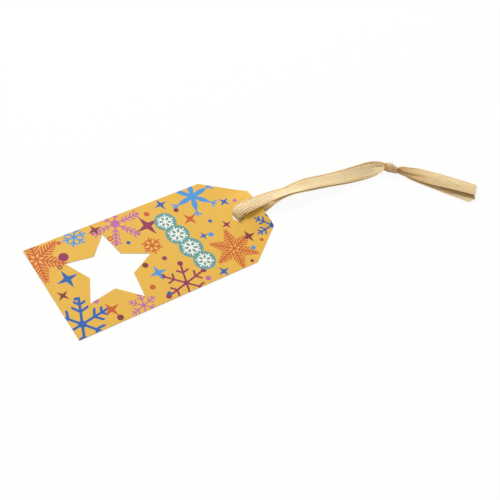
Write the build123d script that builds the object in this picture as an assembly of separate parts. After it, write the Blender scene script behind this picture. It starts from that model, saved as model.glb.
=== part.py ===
from build123d import *
import os
from math import cos, pi, radians, sin, sqrt, tan

# Gift tag: a die-cut card with a star window, on one length of ribbon tied through its hole.
# Millimetres. +X runs from the plain end towards the hole end, +Y across the card, +Z up.
# The origin is the middle of the card's outline, on the table that the tag lies on.

# Card: a long tag with two cut shoulders, whose hole end bows up over the ribbon beneath it.
card_length = 125.0
card_width = 60.0
card_thickness = 0.5
shoulder_length = 21.5
shoulder_depth = 16.5
bow_length = 34.5
bow_rise = 1.5

# Star window: one point looks along the card towards the hole.
star_points = 5
star_tip_radius = 23.1
star_notch_radius = 11.7
star_from_foot = 33.3

# Hole for the ribbon.
hole_diameter = 6.0
hole_from_end = 14.5

# Ribbon: woven tape, soft enough to gather in the hole and in the knot.
ribbon_width = 9.5
ribbon_thickness = 0.3
hinge_past_edge = 5.5
seam_gap = 0.1

# Bight: the neck's places are measured from the hole, and the arms' from the card's end and the fold line.
neck_forward = 1.3
neck_turn = 0.7
neck_foot_height = 0.45
neck_top_height = 2.35
neck_top_side = 0.4
front_fold_height = 2.6
front_fold_side = 2.9
front_arm_height = 2.9
front_arm_reach = 4.0
front_arm_side = 3.1
front_crest_height = 3.5
front_crest_side = 3.1
back_arm_side = 0.4
back_arm_height_share = 0.44
back_fold_share = 0.56
front_fold_share = 1.07
bight_rolls = [0, 0, 0, 0, 0, 0, 12, 0, -6, -15]
bight_spread_shares = [0.88, 0.86, 0.76, 0.56, 0.50, 0.50, 0.52, 0.66, 0.92, 0.93, 0.89, 0.89]
bight_curl_shares = [0.01, 0.01, 0.01, 0.01, -0.03, -0.16, -0.24, -0.26, -0.13, -0.03, 0.06, 0.10]

# Front leg: route from the fold line, as places along, across and up, with the roll at each place in degrees.
front_leg_route = [
    (0.0, 2.8, 3.9),
    (3.0, 2.8, 3.95),
    (8.0, 2.6, 3.85),
    (14.0, 2.4, 3.9),
    (20.0, 2.0, 3.95),
    (27.0, 1.3, 3.8),
    (35.0, 0.0, 3.2),
    (44.0, -1.65, 2.5),
    (53.0, -3.0, 2.2),
    (62.0, -4.1, 2.15),
    (69.0, -4.9, 2.25),
    (74.0, -5.6, 2.4),
    (77.3, -6.75, 2.6),
]
front_leg_rolls = [-22, -25, -27, -26, -20, -11, -6, 0, 6, 10, 11, 6, 0]
front_leg_spread_shares = [0.89, 0.93, 0.96, 0.98, 1.0, 1.0, 1.0, 1.0, 1.0, 0.99, 0.93, 0.75, 0.43]
front_leg_curl_shares = [0.11, 0.10, 0.09, 0.07, 0.05, 0.03, 0.02, 0.01, 0.01, 0.02, 0.05, 0.09, 0.12]

# Back leg: it comes from under the card, climbs to the front leg and runs on close beneath it.
back_leg_route = [
    (0.0, 0.85, 1.55),
    (3.0, 1.05, 2.0),
    (8.0, 1.25, 2.55),
    (14.0, 1.3, 3.05),
    (20.0, 1.05, 3.25),
    (27.0, 0.45, 3.0),
    (35.0, -0.55, 2.4),
    (44.0, -1.95, 1.7),
    (53.0, -3.2, 1.4),
    (62.0, -4.25, 1.35),
    (69.0, -4.95, 1.45),
    (74.0, -5.55, 1.6),
    (77.3, -6.7, 1.8),
]
back_leg_rolls = [-11, -18, -27, -27, -20, -11, -6, 0, 6, 10, 11, 6, 0]
back_leg_spread_shares = [0.88, 0.92, 0.96, 0.98, 1.0, 1.0, 1.0, 1.0, 1.0, 0.99, 0.93, 0.75, 0.43]
back_leg_curl_shares = [0.01, 0.01, 0.02, 0.04, 0.05, 0.03, 0.02, 0.01, 0.01, 0.02, 0.05, 0.09, 0.12]

# Knot: a pleated barrel of gathered ribbon, with one slanting wrap round it and a neck that the tails leave.
knot_length = 8.2
knot_heading = -46.0
knot_height = 2.2
knot_entry_radius = 2.1
knot_belly_radius = 2.45
knot_neck_radius = 1.7
knot_belly_share = 0.38
knot_waist_share = 0.64
knot_neck_share = 0.8
knot_pleats = 12
knot_pleat_depth = 0.32
wrap_width = 4.2
wrap_proud = 0.35
wrap_depth = 0.6
wrap_crown = 0.3
wrap_tilt = 19.0

# Tails: each turns on the round root that leaves the knot, flares to the full width and ends in a shallow cut point.
tail_root_radius = 1.6
tail_root_gap = 0.2
tail_flare = 10.0
tail_shift = 1.6
tail_gap = 0.3
front_tail_heading = -45.0
front_tail_near_side = 44.6
front_tail_middle = 44.9
front_tail_far_side = 45.2
back_tail_heading = -51.5
back_tail_near_side = 42.1
back_tail_middle = 45.6
back_tail_far_side = 43.6

# One overrun serves every cut, and a bend takes up this share of the shorter run beside it.
overrun = 5.0
bend_share = 0.45

# Places worked out from the sizes above.
card_end = card_length / 2
card_foot = -card_end
shoulder_x = card_end - shoulder_length
end_half_width = card_width / 2 - shoulder_depth
hole_x = card_end - hole_from_end
hole_radius = hole_diameter / 2
star_x = card_foot + star_from_foot
bow_start = card_end - bow_length
bow_radius = (bow_length**2 + bow_rise**2) / (2 * bow_rise)
hinge_x = card_end + hinge_past_edge
heading = Vector(cos(radians(knot_heading)), sin(radians(knot_heading)), 0)


def underside(x):
    """Height of the card's underside above the table at x."""
    past = max(0.0, x - bow_start)
    return bow_radius - sqrt(bow_radius**2 - past**2)


def topside(x):
    """Height of the card's printed face above the table at x, on the same centre as the underside."""
    past = max(0.0, x - bow_start)
    return bow_radius - sqrt((bow_radius - card_thickness) ** 2 - past**2)


def make_card():
    """Bowed sheet, cut to the tag's outline, with the star window and the hole punched through."""
    reach = card_end + overrun
    middle = (bow_start + reach) / 2
    side = Polyline((bow_start, card_thickness), (card_foot, card_thickness), (card_foot, 0), (bow_start, 0))
    side += ThreePointArc((bow_start, 0), (middle, underside(middle)), (reach, underside(reach)))
    side += Line((reach, underside(reach)), (reach, topside(reach)))
    side += ThreePointArc((reach, topside(reach)), (middle, topside(middle)), (bow_start, card_thickness))
    sheet = extrude(Plane.XZ * make_face(side), amount=card_width, both=True)
    half = card_width / 2
    outline = [(card_foot, -half), (shoulder_x, -half), (card_end, -end_half_width)]
    outline += [(x, -y) for x, y in reversed(outline)]
    blank = extrude(Polygon(*outline, align=None), amount=bow_rise + overrun, both=True)
    step = 2 * pi / star_points
    star = []
    for k in range(star_points):
        star.append((star_x + star_tip_radius * cos(k * step), star_tip_radius * sin(k * step)))
        notch = (k + 1 / 2) * step
        star.append((star_x + star_notch_radius * cos(notch), star_notch_radius * sin(notch)))
    window = extrude(Polygon(*star, align=None), amount=bow_rise + overrun, both=True)
    hole = extrude(Pos(hole_x, 0) * Circle(hole_radius), amount=bow_rise + overrun, both=True)
    return (sheet & blank) - window - hole


def band_section(spot, run, roll, width, sag):
    """Thin curved slice of ribbon square to its run: its edges stand on the chord, its middle sags below."""
    side = Vector(0, 1, 0)
    across = (side - run * side.dot(run)).normalized().rotate(Axis((0, 0, 0), run), roll)
    half = width / 2
    skin = ribbon_thickness / 2
    rim = ThreePointArc((-half, -skin), (0, -sag - skin), (half, -skin))
    rim += Line((half, -skin), (half, skin))
    rim += ThreePointArc((half, skin), (0, skin - sag), (-half, skin))
    rim += Line((-half, skin), (-half, -skin))
    return Plane(origin=spot, x_dir=across, z_dir=run) * make_face(rim)


def strip(name, route, rolls, spread_shares, curl_shares, last_run=None):
    """Ribbon lofted through one section at each point of the route, mitred between its runs."""
    spots = [Vector(*spot) for spot in route]
    runs = [b - a for a, b in zip(spots, spots[1:])]
    ways = [run.normalized() for run in runs]
    tangents = [ways[0]]
    tangents += [(a + b).normalized() for a, b in zip(ways, ways[1:])]
    tangents.append(last_run or ways[-1])
    widths = [ribbon_width * share for share in spread_shares]
    rows = zip(spots, tangents, rolls, widths, curl_shares)
    sections = [band_section(spot, way, roll, width, width * curl) for spot, way, roll, width, curl in rows]
    solid = loft(sections, ruled=True)
    turns = [ways[i].get_angle(ways[i + 1]) for i in range(len(ways) - 1)]
    shorter = [min(a.length, b.length) for a, b in zip(runs, runs[1:])]
    radii = [bend_share * run / tan(radians(turn) / 2) for run, turn in zip(shorter, turns)]
    length = sum(run.length for run in runs)
    plain = sum(run.length * (a + b) / 2 for run, a, b in zip(runs, widths, widths[1:])) * ribbon_thickness
    print(name, "length", round(length, 1), "radii", [round(radius, 1) for radius in radii])
    print(name, "volume", round(solid.volume, 1), "against section times length", round(plain, 1))
    return solid


def make_bight():
    """The fold of the ribbon: under the strip of card, up through the hole and over the strip again."""
    neck_x = hole_x - neck_forward
    strip_middle = (hole_x + card_end) / 2
    back_fold = hole_x + hole_radius * back_fold_share
    front_fold = hole_x + hole_radius * front_fold_share
    arm_turn = hole_x + hole_radius + front_arm_reach
    fold = hinge_x - seam_gap
    _, back_side, back_height = back_leg_route[0]
    _, front_side, front_height = front_leg_route[0]
    route = [
        (fold, back_side, back_height),
        (card_end, back_arm_side, underside(card_end) * back_arm_height_share),
        (strip_middle, back_arm_side / 2, underside(strip_middle) * back_arm_height_share),
        (back_fold, 0, underside(back_fold) * back_arm_height_share),
        (neck_x + neck_turn, 0, neck_foot_height),
        (neck_x, 0, underside(hole_x) + card_thickness),
        (neck_x, 0, (topside(hole_x) + neck_top_height) / 2),
        (neck_x + neck_turn, neck_top_side, neck_top_height),
        (front_fold, front_fold_side, front_fold_height),
        (arm_turn, front_arm_side, front_arm_height),
        (card_end, front_crest_side, front_crest_height),
        (fold, front_side, front_height),
    ]
    rolls = [-back_leg_rolls[0], *bight_rolls, front_leg_rolls[0]]
    onward = (Vector(*front_leg_route[1]) - Vector(*front_leg_route[0])).normalized()
    return strip("ribbon_bight", route, rolls, bight_spread_shares, bight_curl_shares, onward)


def make_leg(name, route, rolls, spread_shares, curl_shares):
    """One leg of the loop, from the fold line to the knot, arriving square to the knot's face."""
    places = [(hinge_x + along, across, up) for along, across, up in route]
    return strip(name, places, rolls, spread_shares, curl_shares, heading)


def knot_entry():
    """The middle of the knot's entry face, just past the ends of the two legs."""
    along, across, _ = front_leg_route[-1]
    return Vector(hinge_x + along, across, knot_height) + heading * seam_gap


def tail_pivot():
    """The point over which both tails turn, just past the knot's neck."""
    return knot_entry() + heading * (knot_length + tail_root_gap + tail_root_radius)


def pleated_ring(radius, height):
    """Section of the gathered ribbon: pleats that stand on the radius with a valley between each two."""
    corners = []
    for k in range(2 * knot_pleats):
        reach = radius - knot_pleat_depth * (k % 2)
        corners.append((reach * cos(pi * k / knot_pleats), reach * sin(pi * k / knot_pleats)))
    return Pos(0, 0, height) * Polygon(*corners, align=None)


def make_knot():
    """Pleated barrel along the knot's own axis, with a slanting wrap, flattened where it lies on the table."""
    belly = knot_length * knot_belly_share
    waist_radius = (knot_belly_radius + knot_neck_radius) / 2
    rings = [
        pleated_ring(knot_entry_radius, 0),
        pleated_ring(knot_belly_radius, belly),
        pleated_ring(waist_radius, knot_length * knot_waist_share),
        pleated_ring(knot_neck_radius, knot_length * knot_neck_share),
        pleated_ring(knot_neck_radius, knot_length),
    ]
    barrel = loft(rings, ruled=True)
    half = wrap_width / 2
    inner = knot_belly_radius - wrap_depth
    outer = knot_belly_radius + wrap_proud
    rim = outer - wrap_crown
    band = Polyline((rim, -half), (inner, -half), (inner, half), (rim, half))
    band += ThreePointArc((rim, half), (outer, 0), (rim, -half))
    wrap = Pos(0, 0, belly) * Rot(wrap_tilt, 0, 0) * revolve(Plane.XZ * make_face(band), axis=Axis.Z)
    place = Plane(origin=knot_entry(), x_dir=(0, 0, 1), z_dir=heading)
    knot = place * (barrel + wrap)
    spread = knot_length + overrun
    below = Box(spread, spread, overrun, align=(Align.CENTER, Align.CENTER, Align.MAX))
    middle = knot_entry() + heading * (knot_length / 2)
    return knot - Pos(middle.X, middle.Y, 0) * below


def make_tail(turn, near_side, middle, far_side, height):
    """Flat tail: round root at the knot, flare to the full width, and a cut of two straight snips."""
    left = tail_shift + ribbon_width / 2
    right = tail_shift - ribbon_width / 2
    root = tail_root_radius
    edge = ThreePointArc((0, root), (-root, 0), (0, -root))
    edge += Polyline((0, -root), (tail_flare, right), (near_side, right), (middle, tail_shift))
    edge += Polyline((middle, tail_shift), (far_side, left), (tail_flare, left), (0, root))
    pivot = tail_pivot()
    return Pos(pivot.X, pivot.Y, height) * Rot(0, 0, turn) * extrude(make_face(edge), amount=ribbon_thickness)


pieces = {
    "tag_card": make_card(),
    "ribbon_bight": make_bight(),
    "ribbon_front_leg": make_leg(
        "ribbon_front_leg", front_leg_route, front_leg_rolls, front_leg_spread_shares, front_leg_curl_shares
    ),
    "ribbon_back_leg": make_leg(
        "ribbon_back_leg", back_leg_route, back_leg_rolls, back_leg_spread_shares, back_leg_curl_shares
    ),
    "ribbon_knot": make_knot(),
    "ribbon_front_tail": make_tail(
        front_tail_heading,
        front_tail_near_side,
        front_tail_middle,
        front_tail_far_side,
        ribbon_thickness + tail_gap,
    ),
    "ribbon_back_tail": make_tail(
        back_tail_heading, back_tail_near_side, back_tail_middle, back_tail_far_side, 0
    ),
}

os.makedirs("parts", exist_ok=True)
for node, solid in pieces.items():
    export_step(solid, f"parts/{node}.step")
print("hole", round(hole_x, 3), "fold line", round(hinge_x, 3), "tail pivot", tail_pivot())
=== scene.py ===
import math
from functools import partial

import bmesh
import bpy
import numpy as np
from mathutils import Matrix, Vector


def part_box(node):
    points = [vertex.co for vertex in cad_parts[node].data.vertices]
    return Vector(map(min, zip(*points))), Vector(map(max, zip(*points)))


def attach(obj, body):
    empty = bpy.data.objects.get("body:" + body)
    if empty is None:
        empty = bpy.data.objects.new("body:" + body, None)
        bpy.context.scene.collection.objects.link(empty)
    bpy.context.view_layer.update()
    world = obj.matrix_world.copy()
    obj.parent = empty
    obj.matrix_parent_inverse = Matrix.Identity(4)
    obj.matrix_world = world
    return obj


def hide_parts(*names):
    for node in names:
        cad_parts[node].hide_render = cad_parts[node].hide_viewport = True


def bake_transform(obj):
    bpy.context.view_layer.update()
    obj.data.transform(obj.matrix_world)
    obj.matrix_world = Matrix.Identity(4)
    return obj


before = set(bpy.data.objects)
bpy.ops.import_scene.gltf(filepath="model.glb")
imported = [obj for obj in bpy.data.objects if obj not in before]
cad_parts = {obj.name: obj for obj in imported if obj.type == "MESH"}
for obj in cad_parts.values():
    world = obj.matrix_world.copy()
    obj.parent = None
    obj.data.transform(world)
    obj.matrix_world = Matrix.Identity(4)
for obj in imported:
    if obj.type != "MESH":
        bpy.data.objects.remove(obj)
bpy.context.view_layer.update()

MM = 0.001

# Card, in metres: the outline's extents come from the tag card in model.glb, the cuts from the tag's own
# sizes.
CARD_LOW, CARD_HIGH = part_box("tag_card")
CARD_THICKNESS = 0.5 * MM
CARD_EDGE_ROUND = 0.07 * MM
SHOULDER_LENGTH = 21.5 * MM
SHOULDER_DEPTH = 16.5 * MM
BOW_LENGTH = 34.5 * MM
BOW_RISE = 2.05 * MM
BOW_SIDE = 0.9 * MM
BOW_FALL = 9.4
BOW_LOW = 0.05 * MM
BOW_SOFT = 0.2 * MM
STAR_POINTS = 5
STAR_TIP = 23.1 * MM
STAR_NOTCH = 11.7 * MM
STAR_FROM_FOOT = 33.3 * MM
HOLE_RADIUS = 3.0 * MM
HOLE_FROM_END = 14.5 * MM
CARD_SPLIT = 8.0 * MM
CARD_STEP = 1.0 * MM
# Mesh of the card: rows from each opening to the outline, points round the hole, the weld and the cut edge.
STAR_ROWS = 22
HOLE_ROWS = 30
HOLE_STEPS = 96
CARD_WELD = 0.004 * MM
CARD_EDGE_ANGLE = 60.0
CARD_EDGE_STEPS = 2

# Ribbon, in metres. The selvedge's reach is a share of the width.
RIBBON_WIDTH = 9.5 * MM
RIBBON_THICKNESS = 0.3 * MM
RIBBON_LOWEST = 0.19 * MM
SELVEDGE_BEAD = 0.05 * MM
SELVEDGE_REACH = 0.03

# Stations of the two legs, from the middle of the hole to inside the knot: x, y and z in millimetres, roll in
# degrees, spread as a share of the full width, and curl, the middle's sag as a share of the spread width.
FRONT_LEG = [
    (46.7, 0.0, 1.0, 0.0, 0.49, -0.1),
    (46.7, 0.0, 1.68, 0.0, 0.5, -0.13),
    (47.4, 0.6, 2.35, 10.0, 0.61, -0.14),
    (51.2, 2.6, 2.85, -4.0, 0.88, -0.08),
    (55.0, 2.75, 3.25, -6.5, 0.865, -0.03),
    (62.5, 2.85, 3.35, -5.5, 0.835, -0.01),
    (68.0, 3.3, 2.9, -10.0, 0.78, 0.02),
    (71.0, 3.35, 2.8, -17.0, 0.84, 0.04),
    (76.0, 3.1, 2.8, -24.0, 0.92, 0.06),
    (82.0, 2.5, 2.85, -26.0, 0.98, 0.07),
    (88.0, 2.15, 3.05, -20.0, 1.0, 0.05),
    (95.0, 1.45, 3.2, -11.0, 1.0, 0.03),
    (103.0, 0.1, 2.95, -6.0, 1.0, 0.02),
    (112.0, -1.65, 2.5, -7.0, 1.0, 0.01),
    (121.0, -3.0, 2.2, 4.0, 1.0, 0.01),
    (130.0, -4.1, 2.15, 10.0, 0.99, 0.02),
    (137.0, -4.9, 2.25, 12.0, 0.96, 0.05),
    (142.0, -5.6, 2.4, 9.0, 0.82, 0.09),
    (145.3, -6.75, 2.6, 2.0, 0.47, 0.12),
    (147.2, -8.7, 2.45, 0.0, 0.36, 0.12),
]
BACK_LEG = [
    (46.7, 0.0, 1.0, 0.0, 0.49, 0.16),
    (47.3, 0.0, 0.38, 0.0, 0.46, 0.03),
    (49.68, 0.0, 0.28, 0.0, 0.52, -0.01),
    (55.25, 0.2, 0.5, 0.0, 0.74, -0.02),
    (64.3, 0.45, 0.4, 0.0, 0.79, -0.07),
    (66.5, 0.55, 1.8, 0.0, 0.82, -0.17),
    (68.7, 0.9, 2.5, -4.0, 0.79, -0.14),
    (71.0, 1.4, 2.5, -12.0, 0.82, -0.05),
    (76.0, 1.85, 2.6, -22.0, 0.91, 0.04),
    (82.0, 1.45, 2.75, -26.0, 0.98, 0.07),
    (88.0, 1.25, 2.75, -20.0, 1.0, 0.05),
    (95.0, 0.75, 2.7, -11.0, 1.0, 0.03),
    (103.0, -0.5, 2.3, -6.0, 1.0, 0.02),
    (112.0, -1.95, 1.7, -7.0, 1.0, 0.01),
    (121.0, -3.2, 1.4, 4.0, 1.0, 0.01),
    (130.0, -4.25, 1.35, 10.0, 0.99, 0.02),
    (137.0, -4.95, 1.45, 11.0, 0.93, 0.05),
    (142.0, -5.55, 1.6, 6.0, 0.75, 0.09),
    (145.3, -6.7, 1.8, 0.0, 0.43, 0.12),
    (147.2, -8.65, 1.95, 0.0, 0.36, 0.12),
]

# Stations of the two tails, from inside the knot to the cut ends, with the same columns.
FRONT_TAIL = [
    (150.4, -11.75, 2.25, 40.0, 0.14, 0.05),
    (151.3, -12.45, 2.15, 42.0, 0.21, 0.03),
    (152.7, -13.1, 2.1, 42.0, 0.41, 0.03),
    (155.3, -16.0, 2.15, 34.0, 0.53, -0.03),
    (158.9, -19.9, 2.35, 21.0, 0.75, -0.08),
    (165.1, -26.4, 2.25, 8.0, 0.95, -0.1),
    (171.5, -32.7, 2.2, 3.0, 1.0, -0.09),
    (178.1, -38.9, 1.8, 1.0, 1.0, -0.08),
    (184.5, -44.9, 1.2, -1.0, 0.98, -0.07),
]
BACK_TAIL = [
    (149.5, -11.0, 1.9, 0.0, 0.3, 0.1),
    (152.2, -13.5, 1.4, 0.0, 0.36, 0.1),
    (155.75, -17.35, 0.55, 0.0, 0.64, 0.08),
    (159.9, -22.1, 0.68, 0.0, 0.84, 0.06),
    (165.4, -29.0, 0.75, 0.0, 0.97, 0.06),
    (170.25, -35.75, 0.72, 0.0, 1.0, 0.05),
    (175.55, -42.35, 0.72, 0.0, 1.0, 0.05),
    (180.5, -49.0, 0.72, 0.0, 1.0, 0.05),
]
# Cuts of the tails' ends: places across, from the near edge to the far one, and what each adds to the length.
CUT_PLACES = (-0.5, 0.0, 0.5)
FRONT_TAIL_CUT = (-0.3 * MM, 0.0, 0.3 * MM)
BACK_TAIL_CUT = (-2.6 * MM, 0.3 * MM, -1.6 * MM)

# Knot: where the ribbon enters it and its length, in metres, and its heading on the table.
KNOT_ENTRY = Vector((145.37, -6.82, 2.2)) * MM
KNOT_HEADING = math.radians(-46.0)
KNOT_LENGTH = 8.2 * MM

# Camera: the photograph's place, axes and field of view.
CAMERA_PLACE = (-0.188375, -0.251052, 0.397572)
CAMERA_RIGHT = (0.82084508, -0.54893333, 0.15775153)
CAMERA_DOWN = (-0.35434371, -0.70606344, -0.61311903)
CAMERA_FORWARD = (0.44794406, 0.44737748, -0.77407978)
CAMERA_LENS = 70.458
CAMERA_SENSOR = 36.0
CAMERA_CLIP = 0.01


def linear(red, green, blue):
    """Linear colour of an sRGB colour given in 0 to 255."""
    shares = np.array([red, green, blue]) / 255.0
    low = shares / 12.92
    high = ((shares + 0.055) / 1.055) ** 2.4
    return (*np.where(shares <= 0.04045, low, high).tolist(), 1.0)


# Colours of the card and its inks, and of the ribbon.
CARD_YELLOW = linear(232, 184, 72)
CARD_CORE = linear(214, 190, 146)
CARD_BACK = linear(238, 230, 210)
INK = {
    "plum": linear(148, 46, 88),
    "orchid": linear(192, 104, 168),
    "royal": linear(36, 97, 180),
    "sky": linear(76, 152, 220),
    "teal": linear(104, 160, 158),
    "ember": linear(205, 92, 44),
    "maroon": linear(132, 50, 56),
    "white": linear(248, 246, 240),
}
RIBBON_GOLD = linear(243, 219, 178)
RIBBON_DEEP = linear(217, 183, 128)
RIBBON_EDGE = linear(164, 136, 92)
# The knot's colours: a darker, greyer copy of the ribbon's, painted shade on the same ribbon.
KNOT_SHADED_GOLD = linear(226, 194, 148)
KNOT_SHADED_DEEP = linear(200, 163, 114)
# Brown of the painted shade in creases, under the knot and on a covered tail.
PAINTED_SHADE_BROWN = linear(112, 78, 40)
THREAD_PALE = linear(232, 214, 170)


# Mesh helpers.

def smooth(share):
    """Smoothstep of a share kept within 0 and 1."""
    kept = np.clip(share, 0.0, 1.0)
    return kept * kept * (3.0 - 2.0 * kept)


def grid_faces(rows, columns, closed_columns=False):
    """Quads of a grid whose point in row r and column c has the number r * columns + c."""
    row_start = np.arange(rows - 1) * columns
    column = np.arange(columns if closed_columns else columns - 1)
    start, c = (a.ravel() for a in np.meshgrid(row_start, column, indexing="ij"))
    after = start + columns
    c_next = (c + 1) % columns
    return np.stack([start + c, after + c, after + c_next, start + c_next], axis=1)


def new_object(name, data):
    """Object at the origin that holds the data, linked to the scene."""
    made = bpy.data.objects.new(name, data)
    bpy.context.scene.collection.objects.link(made)
    return made


def new_piece(name, points, faces, materials, smooth_angle=None):
    """Mesh object at the origin from an array of points and a list of faces."""
    mesh = bpy.data.meshes.new(name)
    mesh.from_pydata(points.tolist(), [], faces)
    for material in materials:
        mesh.materials.append(material)
    if smooth_angle is not None:
        mesh.shade_smooth()
        mesh.set_sharp_from_angle(angle=math.radians(smooth_angle))
    return new_object(name, mesh)


def set_uv(piece, per_point):
    """UV map named weave, with each corner taking its point's pair from an array."""
    mesh = piece.data
    corners = np.zeros(len(mesh.loops), np.int32)
    mesh.loops.foreach_get("vertex_index", corners)
    layer = mesh.uv_layers.new(name="weave")
    layer.data.foreach_set("uv", per_point[corners].astype(np.float32).ravel())


# Node helpers.

def add(tree, kind, inputs=None, **settings):
    """One node with its settings; an input that is a socket is linked, and any other value is set."""
    made = tree.nodes.new(kind)
    for name, value in settings.items():
        setattr(made, name, value)
    for key, value in (inputs or {}).items():
        if isinstance(value, bpy.types.NodeSocket):
            tree.links.new(value, made.inputs[key])
        else:
            made.inputs[key].default_value = value
    return made


def maths(tree, operation, *values):
    """Result socket of one Math node."""
    return add(tree, "ShaderNodeMath", dict(enumerate(values)), operation=operation).outputs[0]


def chained(tree, operation, first, *others):
    """Result socket of one Math operation carried on over several values."""
    for value in others:
        first = maths(tree, operation, first, value)
    return first


def hypotenuse(tree, x, y):
    """Socket of the square root of x squared plus y squared."""
    squares = maths(tree, "ADD", maths(tree, "MULTIPLY", x, x), maths(tree, "MULTIPLY", y, y))
    return maths(tree, "POWER", squares, 0.5)


def wave(tree, turns):
    """Socket of a sine of so many turns, between 0 and 1."""
    sine = maths(tree, "SINE", maths(tree, "MULTIPLY", turns, math.tau))
    return maths(tree, "MULTIPLY_ADD", sine, 0.5, 0.5)


def noise(tree, point, scale, detail, bend=0.0):
    """Socket of a Noise texture at a point."""
    inputs = {"Vector": point, "Scale": scale, "Detail": detail, "Distortion": bend}
    return add(tree, "ShaderNodeTexNoise", inputs).outputs[0]


def vector_maths(tree, operation, *values):
    """Vector socket of one Vector Math node."""
    return add(tree, "ShaderNodeVectorMath", dict(enumerate(values)), operation=operation).outputs[0]


def parts_of(tree, vector):
    """The X and Y sockets of a vector."""
    split = add(tree, "ShaderNodeSeparateXYZ", {0: vector})
    return split.outputs[0], split.outputs[1]


def mixed(tree, share, under, over):
    """Colour socket that lays one colour over another by a share."""
    inputs = {0: share, 6: under, 7: over}
    return add(tree, "ShaderNodeMix", inputs, data_type="RGBA", clamp_factor=True).outputs[2]


def plain_colour(tree, colour):
    """Colour socket of one colour."""
    made = add(tree, "ShaderNodeRGB")
    made.outputs[0].default_value = colour
    return made.outputs[0]


def ranged(tree, share, first, last):
    """Value socket that goes evenly from first to last as the share goes from 0 to 1."""
    return add(tree, "ShaderNodeMapRange", {0: share, 3: first, 4: last}).outputs[0]


def ramped(tree, value, low, high, first=0.0, last=1.0):
    """Value socket that goes smoothly from first to last as the value goes from low to high."""
    made = add(
        tree,
        "ShaderNodeMapRange",
        {0: value, 1: low, 2: high, 3: first, 4: last},
        interpolation_type="SMOOTHSTEP",
    )
    return made.outputs[0]


def new_group(name, inputs, outputs):
    """Shader node group with named sockets: its tree, its input sockets by name and its output node."""
    tree = bpy.data.node_groups.new(name, "ShaderNodeTree")
    for label, kind in inputs.items():
        tree.interface.new_socket(label, in_out="INPUT", socket_type=kind)
    for label, kind in outputs.items():
        tree.interface.new_socket(label, in_out="OUTPUT", socket_type=kind)
    entry = tree.nodes.new("NodeGroupInput")
    leave = tree.nodes.new("NodeGroupOutput")
    return tree, {label: entry.outputs[label] for label in inputs}, leave


def place_group(tree, group, inputs):
    """Node that places a group in a material's tree, with its inputs linked or set by name."""
    return add(tree, "ShaderNodeGroup", inputs, node_tree=group)


def new_material(name, values):
    """Material whose Principled shader has the named values: the material, its tree and the shader."""
    material = bpy.data.materials.new(name)
    material.use_nodes = True
    tree = material.node_tree
    shader = tree.nodes["Principled BSDF"]
    for label, value in values.items():
        shader.inputs[label].default_value = value
    return material, tree, shader


FLOAT = "NodeSocketFloat"
VECTOR = "NodeSocketVector"


def turned_point(tree, sockets):
    """X and Y of the point as seen from the motif's centre, turned by the motif's angle."""
    moved = vector_maths(tree, "SUBTRACT", sockets["Point"], sockets["Centre"])
    turned = add(
        tree,
        "ShaderNodeVectorRotate",
        {"Vector": moved, "Angle": sockets["Turn"]},
        rotation_type="Z_AXIS",
        invert=True,
    )
    return parts_of(tree, turned.outputs[0])


FLAKE_ARMS = 6
PETAL_LENGTH = 0.75


def make_flake_group():
    """Six-armed crystal, in millimetres.

    The angle is folded to the nearest arm, which puts the arm on the x axis with y its distance from it.
    The arm is y under half a line and x under the reach. Twigs leave it at the lean angle, one every step
    from start to last: x minus y over tan(lean) is the place where a twig's line leaves the arm, and its
    length shrinks from near to far along the arm. A round hub, round tips and a petal on each arm are added:
    the petal is y under its own half width times 4 s (1 - s), where s is x as a share of 0.75 reach."""
    names = ["Turn", "Reach", "Line", "Start", "Step", "Last", "Near", "Far", "Lean", "Hub", "Tip", "Petal"]
    inputs = {"Point": VECTOR, "Centre": VECTOR, **{name: FLOAT for name in names}}
    tree, sockets, leave = new_group("flake", inputs, {"Mask": FLOAT})
    work = partial(maths, tree)
    line, reach, start, last = (sockets[name] for name in ("Line", "Reach", "Start", "Last"))
    lean_sine = work("SINE", sockets["Lean"])
    across, along = turned_point(tree, sockets)
    radius = hypotenuse(tree, across, along)
    folded = work("PINGPONG", work("ARCTAN2", along, across), math.pi / FLAKE_ARMS)
    x = work("MULTIPLY", radius, work("COSINE", folded))
    y = work("MULTIPLY", radius, work("SINE", folded))
    half_line = work("MULTIPLY", line, 0.5)
    arm = work("MULTIPLY", work("LESS_THAN", y, half_line), work("LESS_THAN", x, reach))
    root = work("SUBTRACT", x, work("DIVIDE", y, work("TANGENT", sockets["Lean"])))
    past = work("SUBTRACT", root, start)
    half_step = work("MULTIPLY", sockets["Step"], 0.5)
    beside = work("MULTIPLY", work("PINGPONG", past, half_step), lean_sine)
    place = work("DIVIDE", past, work("SUBTRACT", last, start))
    length = ranged(tree, place, sockets["Near"], sockets["Far"])
    on_twig = work("LESS_THAN", beside, half_line)
    short = work("LESS_THAN", work("DIVIDE", y, lean_sine), length)
    after = work("GREATER_THAN", past, work("MULTIPLY", line, -1.0))
    before = work("LESS_THAN", root, work("ADD", last, line))
    twig = chained(tree, "MULTIPLY", on_twig, short, after, before)
    hub = work("LESS_THAN", radius, sockets["Hub"])
    tip = work("LESS_THAN", hypotenuse(tree, work("SUBTRACT", x, reach), y), sockets["Tip"])
    share = work("DIVIDE", x, work("MULTIPLY", reach, PETAL_LENGTH))
    lens = work("MULTIPLY", share, work("SUBTRACT", 1.0, share))
    petal = work("LESS_THAN", y, chained(tree, "MULTIPLY", lens, 4.0, sockets["Petal"]))
    tree.links.new(chained(tree, "MAXIMUM", arm, twig, hub, tip, petal), leave.inputs["Mask"])
    return tree


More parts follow.
